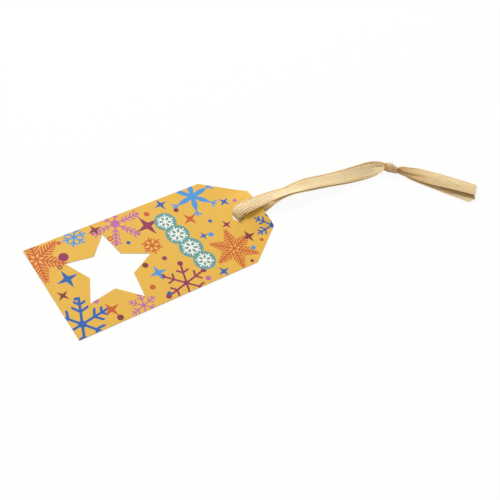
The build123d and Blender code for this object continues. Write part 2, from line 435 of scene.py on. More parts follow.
def make_sparkle_group():
    """Four-pointed sparkle, in millimetres: with a the larger and b the smaller of |x| and |y|, b is under
    slim * (reach - a), which runs straight from each point to a notch near the centre."""
    inputs = {"Point": VECTOR, "Centre": VECTOR, "Turn": FLOAT, "Reach": FLOAT, "Slim": FLOAT}
    tree, sockets, leave = new_group("sparkle", inputs, {"Mask": FLOAT})
    x, y = (maths(tree, "ABSOLUTE", value) for value in turned_point(tree, sockets))
    room = maths(tree, "SUBTRACT", sockets["Reach"], maths(tree, "MAXIMUM", x, y))
    limit = maths(tree, "MULTIPLY", room, sockets["Slim"])
    mask = maths(tree, "LESS_THAN", maths(tree, "MINIMUM", x, y), limit)
    tree.links.new(mask, leave.inputs["Mask"])
    return tree


def make_dot_group():
    """Round dot or ring, in millimetres: the distance from the centre lies between the core and the reach."""
    inputs = {"Point": VECTOR, "Centre": VECTOR, "Reach": FLOAT, "Core": FLOAT}
    tree, sockets, leave = new_group("dot", inputs, {"Mask": FLOAT})
    distance = add(tree, "ShaderNodeVectorMath", {0: sockets["Point"], 1: sockets["Centre"]},
                   operation="DISTANCE").outputs["Value"]
    mask = maths(tree, "MULTIPLY", maths(tree, "LESS_THAN", distance, sockets["Reach"]),
                 maths(tree, "GREATER_THAN", distance, sockets["Core"]))
    tree.links.new(mask, leave.inputs["Mask"])
    return tree


# Paper: scale per millimetre, detail and bend of each noise, fibres' stretch, weights of shade and height.
PAPER_MOTTLE = (0.35, 3.0)
PAPER_GRAIN = (6.0, 2.0)
PAPER_FIBRE = (1.0, 2.0, 1.2)
PAPER_FIBRE_STRETCH = (1.2, 5.0, 3.0)
PAPER_SHADE_EACH = 0.05
PAPER_SHADE_LEAST = 0.925
PAPER_FIBRE_HEIGHT = 0.7
# Weave: columns, picks per width, rise and yarns of the tape, noise and stretch of its streaks, heights.
WEAVE_COLUMNS = 4.0
WEAVE_PICKS = 15.0
WEAVE_RISE = 3.0
WEAVE_YARNS = 34.0
STREAK = (1.0, 3.0)
STREAK_STRETCH = (26.0, 0.9, 1.0)
TWILL_HEIGHT = 0.6
YARN_HEIGHT = 0.4


def make_paper_group():
    """Uncoated paper: a fine mottle, grain and short fibres, as a shade about 1, and their height."""
    tree, sockets, leave = new_group("paper", {"Point": VECTOR}, {"Shade": FLOAT, "Height": FLOAT})
    point = sockets["Point"]
    mottle = noise(tree, point, *PAPER_MOTTLE)
    grain = noise(tree, point, *PAPER_GRAIN)
    fibre = noise(tree, vector_maths(tree, "MULTIPLY", point, PAPER_FIBRE_STRETCH), *PAPER_FIBRE)
    shades = [maths(tree, "MULTIPLY", value, PAPER_SHADE_EACH) for value in (mottle, grain, fibre)]
    tree.links.new(chained(tree, "ADD", *shades, PAPER_SHADE_LEAST), leave.inputs["Shade"])
    height = maths(tree, "ADD", grain, maths(tree, "MULTIPLY", fibre, PAPER_FIBRE_HEIGHT))
    tree.links.new(height, leave.inputs["Height"])
    return tree


def make_weave_group():
    """Herringbone tape on its own UV, where u goes once across and v is the length in widths.

    Twill lines climb across each of four columns and fall in the next: a wave of v times picks plus the
    folded u times rise. Fine warp yarns run along: a wave of u times yarns. Streaks are noise stretched
    along. Edge is the distance to the selvedge as a share of the width."""
    outputs = {"Height": FLOAT, "Streak": FLOAT, "Edge": FLOAT}
    inputs = {"UV": VECTOR, "Picks": FLOAT, "Rise": FLOAT, "Yarns": FLOAT}
    tree, sockets, leave = new_group("weave", inputs, outputs)
    work = partial(maths, tree)
    u, v = parts_of(tree, sockets["UV"])
    folded = work("PINGPONG", work("MULTIPLY", u, WEAVE_COLUMNS), 1.0)
    climb = work("MULTIPLY", folded, sockets["Rise"])
    twill = wave(tree, work("ADD", work("MULTIPLY", v, sockets["Picks"]), climb))
    yarn = wave(tree, work("MULTIPLY", u, sockets["Yarns"]))
    height = work("ADD", work("MULTIPLY", twill, TWILL_HEIGHT), work("MULTIPLY", yarn, YARN_HEIGHT))
    streak = noise(tree, vector_maths(tree, "MULTIPLY", sockets["UV"], STREAK_STRETCH), *STREAK)
    edge = work("SUBTRACT", 0.5, work("ABSOLUTE", work("SUBTRACT", u, 0.5)))
    for label, value in (("Height", height), ("Streak", streak), ("Edge", edge)):
        tree.links.new(value, leave.inputs[label])
    return tree


FLAKE = make_flake_group()
SPARKLE = make_sparkle_group()
DOT = make_dot_group()
PAPER = make_paper_group()
WEAVE = make_weave_group()


# Print on the card, in millimetres on the card's own X and Y.

# Flake designs, as shares of the reach but for the lean in degrees: line, start, step, last, near twig, far
# twig, lean, hub, tip and petal.
FLAKE_DESIGNS = {
    "fern": (0.062, 0.18, 0.135, 0.95, 0.38, 0.10, 50.0, 0.0, 0.0, 0.0),
    "branch": (0.085, 0.45, 0.26, 0.72, 0.32, 0.22, 55.0, 0.13, 0.0, 0.0),
    "bead": (0.085, 0.52, 0.24, 0.55, 0.32, 0.28, 60.0, 0.12, 0.12, 0.0),
    "needle": (0.06, 0.30, 0.17, 0.81, 0.18, 0.28, 48.0, 0.18, 0.08, 0.0),
    "petal": (0.07, 0.80, 0.20, 0.82, 0.26, 0.20, 52.0, 0.20, 0.0, 0.11),
    "bold": (0.15, 0.52, 0.40, 0.55, 0.40, 0.40, 58.0, 0.20, 0.0, 0.0),
}
# Flakes: place, turn in degrees, reach, ink and design.
FLAKES = [
    ((-57.0, -22.5), 9.0, 16.0, "royal", "branch"),
    ((-59.0, 22.0), 24.0, 14.5, "ember", "fern"),
    ((-13.0, 25.0), 4.0, 13.5, "orchid", "needle"),
    ((0.5, -24.5), 14.0, 12.5, "plum", "bead"),
    ((34.5, -17.0), 20.0, 12.5, "ember", "fern"),
    ((33.5, 23.5), 11.0, 14.0, "sky", "petal"),
    ((-36.0, 26.5), 0.0, 6.5, "sky", "bold"),
    ((-25.5, -26.5), 17.0, 8.0, "orchid", "branch"),
    ((61.5, -13.0), 8.0, 10.5, "royal", "branch"),
    ((-3.0, 4.0), 22.0, 5.5, "ember", "bold"),
]
# Flakes in a slanting row: place, turn in degrees and reach. Each lies on a round, ROW_ROUND times its reach.
ROW_FLAKES = [
    ((11.2, 14.6), 6.0, 4.9),
    ((12.7, 4.4), 24.0, 5.3),
    ((14.5, -6.2), 10.0, 5.3),
    ((16.5, -16.4), 30.0, 4.9),
]
ROW_DESIGN = "bold"
ROW_INK = "white"
ROW_ROUND = 1.22
ROW_ROUND_INK = "teal"
# Sparkles: place, turn in degrees, reach and ink.
SPARKLES = [
    ((1.5, 16.5), 12.0, 7.2, "plum"),
    ((-51.0, 4.5), 5.0, 6.2, "royal"),
    ((-40.5, -21.5), 18.0, 5.0, "ember"),
    ((-9.0, -12.5), 0.0, 5.2, "sky"),
    ((-24.5, 26.0), 10.0, 4.2, "maroon"),
    ((24.0, 10.5), 22.0, 4.8, "ember"),
    ((46.0, -13.5), 6.0, 4.4, "maroon"),
    ((21.5, -27.0), 15.0, 3.8, "royal"),
    ((47.0, 12.5), 28.0, 3.8, "royal"),
    ((-57.5, -3.5), 30.0, 3.8, "maroon"),
    ((15.0, 26.0), 8.0, 4.2, "royal"),
    ((39.5, -1.5), 14.0, 3.4, "plum"),
    ((24.5, -2.5), 3.0, 3.0, "royal"),
]
SPARKLE_SLIM = 0.26
# Dots: place, reach, core and ink. A dot with no core is full, and takes a core below every distance.
DOTS = [
    ((-46.5, 17.5), 2.6, 0.0, "plum"),
    ((-45.0, -13.5), 1.5, 0.0, "orchid"),
    ((-53.0, -8.0), 1.0, 0.0, "royal"),
    ((-44.5, 26.5), 1.1, 0.0, "ember"),
    ((-51.0, 12.5), 1.3, 0.6, "maroon"),
    ((-39.0, -27.5), 1.7, 0.0, "maroon"),
    ((-16.0, -19.0), 1.5, 0.0, "ember"),
    ((-10.5, -26.0), 1.2, 0.0, "royal"),
    ((-12.5, -5.5), 1.6, 0.0, "maroon"),
    ((-13.0, 11.0), 1.1, 0.0, "royal"),
    ((-1.5, -6.0), 1.3, 0.0, "plum"),
    ((5.0, 23.5), 1.5, 0.0, "ember"),
    ((-20.0, 17.5), 1.5, 0.7, "ember"),
    ((12.0, -27.0), 1.5, 0.0, "orchid"),
    ((20.5, 19.0), 1.4, 0.0, "maroon"),
    ((28.5, -3.5), 1.5, 0.0, "sky"),
    ((44.0, -21.0), 1.3, 0.0, "sky"),
    ((51.0, -18.5), 1.1, 0.0, "ember"),
    ((52.5, 10.5), 1.2, 0.0, "orchid"),
    ((33.0, 4.5), 1.1, 0.0, "royal"),
    ((38.5, -28.0), 1.0, 0.0, "plum"),
]
FULL_CORE = -1.0


def flake_inputs(point, place, turn, reach, design):
    """Inputs of one flake: its design's shares times its reach."""
    line, start, step, last, near, far, lean, hub, tip, petal = FLAKE_DESIGNS[design]
    return {
        "Point": point, "Centre": (*place, 0.0), "Turn": math.radians(turn), "Reach": reach,
        "Line": line * reach, "Start": start * reach, "Step": step * reach, "Last": last * reach,
        "Near": near * reach, "Far": far * reach, "Lean": math.radians(lean),
        "Hub": hub * reach, "Tip": tip * reach, "Petal": petal * reach,
    }


def flat_point(tree):
    """Place on the card in millimetres, from Object coordinates with the height left out."""
    place = add(tree, "ShaderNodeTexCoord").outputs["Object"]
    return vector_maths(tree, "MULTIPLY", place, (1.0 / MM, 1.0 / MM, 0.0))


def inked(tree, colour, ink, group, inputs):
    """Colour socket with one motif laid over a colour in an ink."""
    motif = place_group(tree, group, inputs)
    return mixed(tree, motif.outputs["Mask"], colour, INK[ink])


def print_on(tree, point, colour):
    """Every motif of the print laid over the card's colour, with the row of white flakes last."""
    for place, turn, reach, ink, design in FLAKES:
        colour = inked(tree, colour, ink, FLAKE, flake_inputs(point, place, turn, reach, design))
    for place, turn, reach, ink in SPARKLES:
        colour = inked(tree, colour, ink, SPARKLE, {
            "Point": point, "Centre": (*place, 0.0), "Turn": math.radians(turn), "Reach": reach,
            "Slim": SPARKLE_SLIM,
        })
    rounds = [(place, ROW_ROUND * reach, 0.0, ROW_ROUND_INK) for place, _, reach in ROW_FLAKES]
    for place, reach, core, ink in DOTS + rounds:
        colour = inked(tree, colour, ink, DOT, {
            "Point": point, "Centre": (*place, 0.0), "Reach": reach, "Core": core or FULL_CORE,
        })
    for place, turn, reach in ROW_FLAKES:
        colour = inked(tree, colour, ROW_INK, FLAKE, flake_inputs(point, place, turn, reach, ROW_DESIGN))
    return colour


# Finishes: each shader's own values, the depth of its bump, the paper's scale through its thickness and, for
# the cloth, its relief and where its colours change.
PRINT_FINISH = {"Roughness": 0.62, "Specular IOR Level": 0.3}
PLAIN_FINISH = {"Roughness": 0.85, "Specular IOR Level": 0.2}
PAPER_BUMP = 0.25
PRINT_DEPTH = 0.02 * MM
BACK_DEPTH = 0.03 * MM
CUT_DEPTH = 0.05 * MM
PAPER_DEPTH_SCALE = 4.0
CLOTH_FINISH = {
    "Roughness": 0.7,
    "Specular IOR Level": 0.25,
    "Sheen Weight": 0.25,
    "Sheen Roughness": 0.4,
    "Subsurface Weight": 1.0,
    "Subsurface Radius": (1.0, 0.8, 0.5),
    "Subsurface Scale": 0.6 * MM,
}
CLOTH_DEPTH = 0.08 * MM
CLOTH_RELIEF = 0.25
KNOT_RELIEF = 0.1
STREAK_RANGE = (0.35, 0.7)
STREAK_SHARE = 0.55
HOLLOW_SHADE_SHARE = 0.8
EDGE_LINE_INSIDE = (0.03, 0.055)
EDGE_LINE_OUTSIDE = (0.075, 0.11)
EDGE_LINE_SHARE = 0.7


def paper_finish(tree, shader, point, colour, depth):
    """Paper's mottle on a colour, and its fine bump, linked to the shader."""
    paper = place_group(tree, PAPER, {"Point": point}).outputs
    shaded = add(tree, "ShaderNodeVectorMath", {0: colour, "Scale": paper["Shade"]}, operation="SCALE")
    tree.links.new(shaded.outputs[0], shader.inputs["Base Color"])
    bump = add(tree, "ShaderNodeBump", {"Strength": PAPER_BUMP, "Distance": depth, "Height": paper["Height"]})
    tree.links.new(bump.outputs[0], shader.inputs["Normal"])


def make_printed_face():
    """Printed side of the card: matt inks on yellow."""
    material, tree, shader = new_material("card_print", PRINT_FINISH)
    point = flat_point(tree)
    paper_finish(tree, shader, point, print_on(tree, point, plain_colour(tree, CARD_YELLOW)), PRINT_DEPTH)
    return material


def make_plain_paper(name, colour, depth):
    """Unprinted paper: the card's back, or its cut edge."""
    material, tree, shader = new_material(name, PLAIN_FINISH)
    place = add(tree, "ShaderNodeTexCoord").outputs["Object"]
    point = vector_maths(tree, "MULTIPLY", place, (1.0 / MM, 1.0 / MM, PAPER_DEPTH_SCALE / MM))
    paper_finish(tree, shader, point, plain_colour(tree, colour), depth)
    return material


def make_ribbon_cloth(name, gold, deep, relief):
    """Woven tape: gold with deeper streaks along it, herringbone twill of some relief, its hollows darkened
    towards the deeper colour as painted shade, and a darker line inside each selvedge. An attribute lays a
    brown painted shade over the cloth."""
    material, tree, shader = new_material(name, CLOTH_FINISH)
    uv = add(tree, "ShaderNodeUVMap", uv_map="weave").outputs[0]
    inputs = {"UV": uv, "Picks": WEAVE_PICKS, "Rise": WEAVE_RISE, "Yarns": WEAVE_YARNS}
    weave = place_group(tree, WEAVE, inputs).outputs
    streak = ramped(tree, weave["Streak"], *STREAK_RANGE)
    colour = mixed(tree, maths(tree, "MULTIPLY", streak, STREAK_SHARE), gold, deep)
    # Painted shade: the weave's hollows are darkened towards the deeper colour.
    hollow_shade = maths(tree, "SUBTRACT", 1.0, weave["Height"])
    colour = mixed(tree, maths(tree, "MULTIPLY", hollow_shade, HOLLOW_SHADE_SHARE * relief), colour, deep)
    inside = ramped(tree, weave["Edge"], *EDGE_LINE_INSIDE)
    outside = ramped(tree, weave["Edge"], *EDGE_LINE_OUTSIDE, EDGE_LINE_SHARE, 0.0)
    colour = mixed(tree, maths(tree, "MULTIPLY", inside, outside), colour, RIBBON_EDGE)
    # Painted shade: a brown laid over the cloth by the attribute read here, in creases and where parts shade
    # each other.
    painted_shade = add(tree, "ShaderNodeAttribute", attribute_name="painted_shade").outputs["Fac"]
    tree.links.new(mixed(tree, painted_shade, colour, PAINTED_SHADE_BROWN), shader.inputs["Base Color"])
    threads = {"Strength": relief, "Distance": CLOTH_DEPTH, "Height": weave["Height"]}
    bump = add(tree, "ShaderNodeBump", threads)
    tree.links.new(bump.outputs[0], shader.inputs["Normal"])
    return material


# Camera.

def make_camera():
    """Camera at the photograph's place, with its axes and field of view."""
    data = bpy.data.cameras.new("camera")
    data.sensor_width = CAMERA_SENSOR
    data.lens = CAMERA_LENS
    data.clip_start = CAMERA_CLIP
    camera = new_object("camera", data)
    turn = Matrix([CAMERA_RIGHT, [-value for value in CAMERA_DOWN], [-value for value in CAMERA_FORWARD]])
    camera.matrix_world = Matrix.Translation(CAMERA_PLACE) @ turn.transposed().to_4x4()
    bpy.context.scene.camera = camera


make_camera()


# Ribbon.

# Centreline: the spline's order and steps, the even spots along it, and how many spots the easing reaches.
SPLINE_ORDER = 3
SPLINE_STEPS = 16
FRAME_SPOTS = 400
ROLL_EASE = 12
SHARE_EASE = 8


def spline_points(name, route):
    """Points read from a quadratic NURBS spline that has the route's places, in metres, as control points."""
    curve = bpy.data.curves.new(name + "_line", "CURVE")
    curve.dimensions = "3D"
    spline = curve.splines.new("NURBS")
    spline.points.add(len(route) - 1)
    places = np.ones((len(route), 4))
    places[:, :3] = route
    spline.points.foreach_set("co", places.ravel())
    spline.order_u = SPLINE_ORDER
    spline.use_endpoint_u = True
    spline.resolution_u = SPLINE_STEPS
    holder = new_object(name + "_line", curve)
    bpy.context.view_layer.update()
    line = bpy.data.meshes.new_from_object(holder)
    points = np.zeros(len(line.vertices) * 3)
    line.vertices.foreach_get("co", points)
    bpy.data.objects.remove(holder)
    bpy.data.meshes.remove(line)
    bpy.data.curves.remove(curve)
    return points.reshape(-1, 3)


def arc_lengths(points):
    """Length of the line from its first point to each of its points."""
    steps = np.linalg.norm(np.diff(points, axis=0), axis=1)
    return np.concatenate([[0.0], np.cumsum(steps)])


def eased(values, reach):
    """Moving average of a table along its line, with its ends held."""
    kernel = np.hanning(2 * reach + 3)[1:-1]
    padded = np.concatenate([np.full(reach, values[0]), values, np.full(reach, values[-1])])
    return np.convolve(padded, kernel / kernel.sum(), mode="valid")


def unit(vectors):
    """Vectors of length 1 along those of an array."""
    return vectors / np.linalg.norm(vectors, axis=-1, keepdims=True)


def ribbon_frame(name, stations):
    """Even spots along a ribbon, with its length, ways across, normals, widths and sags.

    Across is +Y made square to the run and turned about it by the roll; the normal is run x across. A
    station's roll, spread and curl go to the place on the line nearest it, and are eased along the line."""
    table = np.array(stations)
    route = table[:, :3] * MM
    line = spline_points(name, route)
    lengths = arc_lengths(line)
    total = lengths[-1]
    even = np.linspace(0.0, total, FRAME_SPOTS)
    spots = np.stack([np.interp(even, lengths, line[:, k]) for k in range(3)], axis=1)
    away = np.linalg.norm(spots[:, None, :] - route[None], axis=2)
    marks = even[np.argmin(away, axis=0)]
    marks[0] = 0.0
    marks[-1] = total
    rolls, spreads, curls = (np.interp(even, marks, column) for column in table[:, 3:].T)
    roll = np.radians(eased(rolls, ROLL_EASE))[:, None]
    width = RIBBON_WIDTH * eased(spreads, SHARE_EASE)
    run = unit(np.gradient(spots, axis=0))
    side = unit(np.array([0.0, 1.0, 0.0]) - run * run[:, 1:2])
    up = np.cross(run, side)
    across = side * np.cos(roll) + up * np.sin(roll)
    return {
        "length": total, "even": even, "spots": spots, "across": across,
        "normal": np.cross(run, across), "width": width, "sag": width * eased(curls, SHARE_EASE),
        "line": line,
    }


def along_frame(ribbon, key, place):
    """One of the ribbon's tables at each place along it, whatever the places' own shape."""
    table = ribbon[key]
    if table.ndim == 1:
        return np.interp(place, ribbon["even"], table)
    return np.stack([np.interp(place, ribbon["even"], table[:, k]) for k in range(3)], axis=-1)


def ribbon_sheet(ribbon, grid, folds, cut=(0.0, 0.0, 0.0)):
    """Middle surface of a ribbon on a grid of rows along it and columns across, its UV pairs and its painted
    shade.

    A point is the spot, plus u times the width along across, less sag * (1 - 4 u^2) along the normal, plus
    the folds' height there. The last row follows the cut: a column's length is the ribbon's plus its cut."""
    rows, columns = grid
    u = np.linspace(-0.5, 0.5, columns)[None, :]
    t = np.linspace(0.0, 1.0, rows)[:, None]
    place = t * (ribbon["length"] + np.interp(u, CUT_PLACES, cut))
    width = along_frame(ribbon, "width", place)
    sag = along_frame(ribbon, "sag", place)
    height, painted_shade = folds(np.broadcast_to(u, place.shape), place)
    lift = height - sag * (1.0 - 4.0 * u * u)
    beyond = np.maximum(place - ribbon["length"], 0.0)
    run = np.cross(ribbon["across"][-1], ribbon["normal"][-1])
    points = (
        along_frame(ribbon, "spots", place)
        + along_frame(ribbon, "across", place) * (u * width)[..., None]
        + along_frame(ribbon, "normal", place) * lift[..., None]
        + run * beyond[..., None]
    )
    points[..., 2] = np.maximum(points[..., 2], RIBBON_LOWEST)
    uv = np.stack(np.broadcast_arrays(u + 0.5, place / RIBBON_WIDTH), axis=-1)
    return points, uv, painted_shade


# Least length that a direction is divided by.
LEAST_LENGTH = 1e-12


def thick_cloth(points, half):
    """Closed skin round a grid of middle points: both faces at half the thickness, and round edges.

    Each face is the middle point plus or minus the surface normal times the half thickness; one more ring of
    points round the rim stands out by the half thickness along both sides, and not at the ends."""
    rows, columns = points.shape[:2]
    along = np.gradient(points, axis=0)
    side = np.gradient(points, axis=1)
    normal = unit(np.cross(along, side))
    upper = points + normal * half[..., None]
    lower = points - normal * half[..., None]
    index = np.arange(rows * columns).reshape(rows, columns)
    rim = np.concatenate([index[0, :-1], index[:-1, -1], index[-1, :0:-1], index[:0:-1, 0]])
    flat = points.reshape(-1, 3)
    out = np.zeros_like(points)
    out[:, 0] -= side[:, 0]
    out[:, -1] += side[:, -1]
    out /= np.maximum(np.linalg.norm(out, axis=2, keepdims=True), LEAST_LENGTH)
    edge = flat[rim] + out.reshape(-1, 3)[rim] * half.reshape(-1)[rim][:, None]
    count = rows * columns
    faces = grid_faces(rows, columns)
    ring = np.arange(len(rim)) + 2 * count
    after = np.roll(rim, -1)
    ring_after = np.roll(ring, -1)
    top = np.stack([rim, after, ring_after, ring], axis=1)
    bottom = np.stack([ring, ring_after, after + count, rim + count], axis=1)
    quads = np.concatenate([faces, faces[:, ::-1] + count, top[:, ::-1], bottom[:, ::-1]])
    return np.concatenate([upper.reshape(-1, 3), lower.reshape(-1, 3), edge]), quads, rim


CLOTH_SMOOTH = 50.0


def cloth_piece(name, points, uv, painted_shade, material):
    """Ribbon piece with its thickness, selvedge beads, UV map and an attribute with its painted shade.

    A bead's share is exp(-(way from the edge / reach)^2), with the way as a share of the width."""
    u = uv[..., 0]
    bead = np.exp(-((0.5 - np.abs(u - 0.5)) / SELVEDGE_REACH) ** 2)
    half = (RIBBON_THICKNESS + SELVEDGE_BEAD * bead) / 2.0
    skin, quads, rim = thick_cloth(points, half)
    piece = new_piece(name, skin, quads.tolist(), [material], CLOTH_SMOOTH)
    pairs = uv.reshape(-1, 2)
    set_uv(piece, np.concatenate([pairs, pairs, pairs[rim]]))
    # The attribute holds the painted shade's depth at each point.
    shade = np.clip(painted_shade, 0.0, 1.0).ravel()
    layer = piece.data.attributes.new("painted_shade", "FLOAT", "POINT")
    layer.data.foreach_set("value", np.concatenate([shade, shade, shade[rim]]).astype(np.float32))
    return piece


# Folds, in metres along and above the ribbon and in shares of its width across. A pair is where a fade starts
# and its length, or a valley's place and half width.
HOLE_PLEAT_HEIGHT = 0.2 * MM
HOLE_PLEAT_REACH = 27.0 * MM
HOLE_PLEAT_SIDE = (0.1, 0.35)
HOLE_PLEAT_LOW = (-0.3, 0.8)
# Waves of the pleats at the hole: weight, count across and phase.
HOLE_WAVES = [(1.0, 5.5, 0.0), (0.5, 9.0, 1.0)]
FRONT_PLEAT_SHARE = 1.0
BACK_PLEAT_SHARE = -0.3
NECK_PLEAT_REACH = 8.0 * MM
KNOT_PLEATS = 6.0
KNOT_PLEAT_HEIGHT = 0.07 * MM
KNOT_PLEAT_REACH = 14.0 * MM
KNOT_VALLEY = (0.08, 0.07)
KNOT_VALLEY_DEPTH = 0.6 * MM
KNOT_COVER = 2.0 * MM
RIM_SLANT = 1.3 * MM
RIM_SHADE_LENGTH = 0.7 * MM
RIPPLE_HEIGHT = 0.12 * MM
RIPPLE_LENGTH = 21.0 * MM
TAIL_PLEATS = 5.0
TAIL_PLEAT_REACH = 22.0 * MM
TAIL_VALLEY = (-0.2, 0.13)
TAIL_VALLEY_DEPTH = 1.1 * MM
TAIL_RIM = (-0.35, 0.15)
TAIL_RIM_RISE = 0.42 * MM
TAIL_NEAR_HALF = (0.02, 0.25)
TAIL_COVERED = (0.3, 0.25)
THROAT_DEPTH = 1.2 * MM
THROAT_WIDTH = 0.2
THROAT_PLACE = 1.6 * MM
THROAT_LENGTH = 0.8 * MM
# Depths of the painted shade: in the creases, the neck and the throat, under the knot's rim, on a tail's near
# half and where one tail covers the other.
LOW_LINE_SHADE = 0.25
NECK_SHADE = 0.15
KNOT_VALLEY_SHADE = 0.6
RIM_SHADE = 0.85
TAIL_VALLEY_SHADE = 0.3
NEAR_HALF_SHADE = 0.35
THROAT_SHADE = 0.9
COVERED_SHADE = 0.25


def fade(value, start, length):
    """Share that grows smoothly from 0 at the start to 1 where the value is a length below it."""
    return smooth((start - value) / length)


def valley(u, place, half):
    """Share of a valley's depth across a ribbon: exp(-((u - place) / half)^2)."""
    return np.exp(-(((u - place) / half) ** 2))


def leg_folds(length, side):
    """Folds of a leg: pleats at the hole that last longest at the near edge, gathers at the knot, a ripple.

    At the hole the height is cos(2 pi 5.5 u) + 0.5 cos(2 pi 9 u + 1), all across in the neck and over the
    near part further on; at the knot it is a valley between two lobes, with small pleats cos(2 pi 6 u). Both
    fade with the distance from their end. Painted shade darkens the pleats' low lines and the neck where the
    pleats stand up, the valley, and a line where the leg goes in under the knot's rim."""
    upper = max(side, 0.0)

    def height(u, place):
        near_hole = smooth(1.0 - place / HOLE_PLEAT_REACH)
        in_neck = smooth(1.0 - place / NECK_PLEAT_REACH)
        near_knot = smooth(1.0 - (length - place) / KNOT_PLEAT_REACH)
        window = np.maximum(in_neck, fade(u, *HOLE_PLEAT_SIDE))
        waves = sum(weight * np.cos(math.tau * count * u + phase) for weight, count, phase in HOLE_WAVES)
        pleats = HOLE_PLEAT_HEIGHT * near_hole * window * waves
        groove = near_knot * valley(u, *KNOT_VALLEY)
        small = KNOT_PLEAT_HEIGHT * near_knot * np.cos(math.tau * KNOT_PLEATS * u)
        gathers = small - KNOT_VALLEY_DEPTH * groove
        middle = (1.0 - near_hole) * (1.0 - near_knot)
        ripple = RIPPLE_HEIGHT * middle * np.sin(math.tau * place / RIPPLE_LENGTH) * np.sin(math.pi * u)
        covered = KNOT_COVER - RIM_SLANT * u
        under_rim = smooth(1.0 - (length - place - covered) / RIM_SHADE_LENGTH)
        # Painted shade: darker in the pleats' low lines, the neck, the valley and under the knot's rim.
        low_lines = upper * near_hole * window * fade(waves, *HOLE_PLEAT_LOW)
        at_hole = LOW_LINE_SHADE * low_lines + NECK_SHADE * upper * in_neck
        painted_shade = at_hole + KNOT_VALLEY_SHADE * groove**2 + RIM_SHADE * under_rim
        return side * pleats + gathers + ripple, painted_shade
    return height


def tail_folds(rise, throat, cover):
    """Folds of a tail: a valley and small pleats that fade out from the knot, a near edge that curls up by
    the rise, and the throat's pit, exp(-(u / 0.2)^2 - (way from it / its length)^2).

    Painted shade darkens the valley, the gathered near half and the pit, and the cover is the depth of a
    painted shade on the far part, which another tail lies on."""
    pit_shade = THROAT_SHADE if throat else 0.0

    def height(u, place):
        pit = np.exp(-((u / THROAT_WIDTH) ** 2) - ((place - THROAT_PLACE) / THROAT_LENGTH) ** 2)
        gathered = smooth(1.0 - place / TAIL_PLEAT_REACH)
        groove = gathered * valley(u, *TAIL_VALLEY)
        small = KNOT_PLEAT_HEIGHT * gathered * np.cos(math.tau * TAIL_PLEATS * u)
        gathers = small - TAIL_VALLEY_DEPTH * groove
        lift = gathers - throat * pit + rise * (1.0 - gathered) * fade(u, *TAIL_RIM)
        # Painted shade: darker in the valley, the gathered near half, the pit and the covered far part.
        near_half = gathered * fade(u, *TAIL_NEAR_HALF)
        covered = cover * (1.0 - gathered) * fade(-u, *TAIL_COVERED)
        return lift, TAIL_VALLEY_SHADE * groove + NEAR_HALF_SHADE * near_half + pit_shade * pit + covered
    return height


# Rows along and columns across.
LEG_GRID = (260, 61)
TAIL_GRID = (140, 61)
RIBBON_CLOTH = make_ribbon_cloth("ribbon_cloth", RIBBON_GOLD, RIBBON_DEEP, CLOTH_RELIEF)
# The knot's cloth: the same ribbon in darker colours, a painted shade.
KNOT_SHADED_CLOTH = make_ribbon_cloth("knot_shaded_cloth", KNOT_SHADED_GOLD, KNOT_SHADED_DEEP, KNOT_RELIEF)

front_frame = ribbon_frame("ribbon_front", FRONT_LEG)
back_frame = ribbon_frame("ribbon_back", BACK_LEG)
front_tail_frame = ribbon_frame("tail_front", FRONT_TAIL)
back_tail_frame = ribbon_frame("tail_back", BACK_TAIL)

front_folds = leg_folds(front_frame["length"], FRONT_PLEAT_SHARE)
back_folds = leg_folds(back_frame["length"], BACK_PLEAT_SHARE)
front_tail_folds = tail_folds(TAIL_RIM_RISE, THROAT_DEPTH, 0.0)
back_tail_folds = tail_folds(0.0, 0.0, COVERED_SHADE)

front_tail_sheet = ribbon_sheet(front_tail_frame, TAIL_GRID, front_tail_folds, FRONT_TAIL_CUT)
back_tail_sheet = ribbon_sheet(back_tail_frame, TAIL_GRID, back_tail_folds, BACK_TAIL_CUT)
ribbon_front = cloth_piece("ribbon_front", *ribbon_sheet(front_frame, LEG_GRID, front_folds), RIBBON_CLOTH)
ribbon_back = cloth_piece("ribbon_back", *ribbon_sheet(back_frame, LEG_GRID, back_folds), RIBBON_CLOTH)
tail_front = cloth_piece("tail_front", *front_tail_sheet, RIBBON_CLOTH)
tail_back = cloth_piece("tail_back", *back_tail_sheet, RIBBON_CLOTH)


# Loose threads.

# Threads: finish, rings along, sides round, taper, and a direction that none has, to start their rings from.
THREAD_FINISH = {"Base Color": THREAD_PALE, "Roughness": 0.8, "Specular IOR Level": 0.2}
THREAD_RINGS = 7
THREAD_SIDES = 5
THREAD_TAPER = 0.7
THREAD_ASIDE = (0.31, 0.17, 0.94)
ALL_SMOOTH = 180.0


def threads_piece(name, roots, ways, bends, radius):
    """Loose threads in one mesh: each is a five-sided tube that tapers along root + way * t + bend * t^2."""
    t = np.linspace(0.0, 1.0, THREAD_RINGS)[None, :, None]
    line = roots[:, None] + ways[:, None] * t + bends[:, None] * t * t
    run = unit(ways)
    first = unit(np.cross(run, np.array(THREAD_ASIDE)))
    second = np.cross(run, first)
    angle = math.tau * np.arange(THREAD_SIDES) / THREAD_SIDES
    ring = first[:, None, None] * np.cos(angle)[:, None] + second[:, None, None] * np.sin(angle)[:, None]
    thin = radius * (1.0 - THREAD_TAPER * t)[..., None]
    points = (line[:, :, None] + ring * thin).reshape(-1, 3)
    faces = grid_faces(THREAD_RINGS, THREAD_SIDES, closed_columns=True)
    starts = np.arange(len(roots)) * THREAD_RINGS * THREAD_SIDES
    quads = (faces[None] + starts[:, None, None]).reshape(-1, 4)
    return new_piece(name, points, quads.tolist(), [RIBBON_THREAD], ALL_SMOOTH)


# Fringe of a cut end: lengths in metres, and the spans and spreads of its threads' chance.
FRINGE_THREADS = 46
FRINGE_LENGTH = 0.75 * MM
FRINGE_RADIUS = 0.055 * MM
FRINGE_INSET = 0.1 * MM
FRINGE_UNEVEN = (0.3, 1.3)
FRINGE_STRAY = 0.18
FRINGE_BEND = 0.2
FRONT_FRINGE_SEED = 3
BACK_FRINGE_SEED = 8


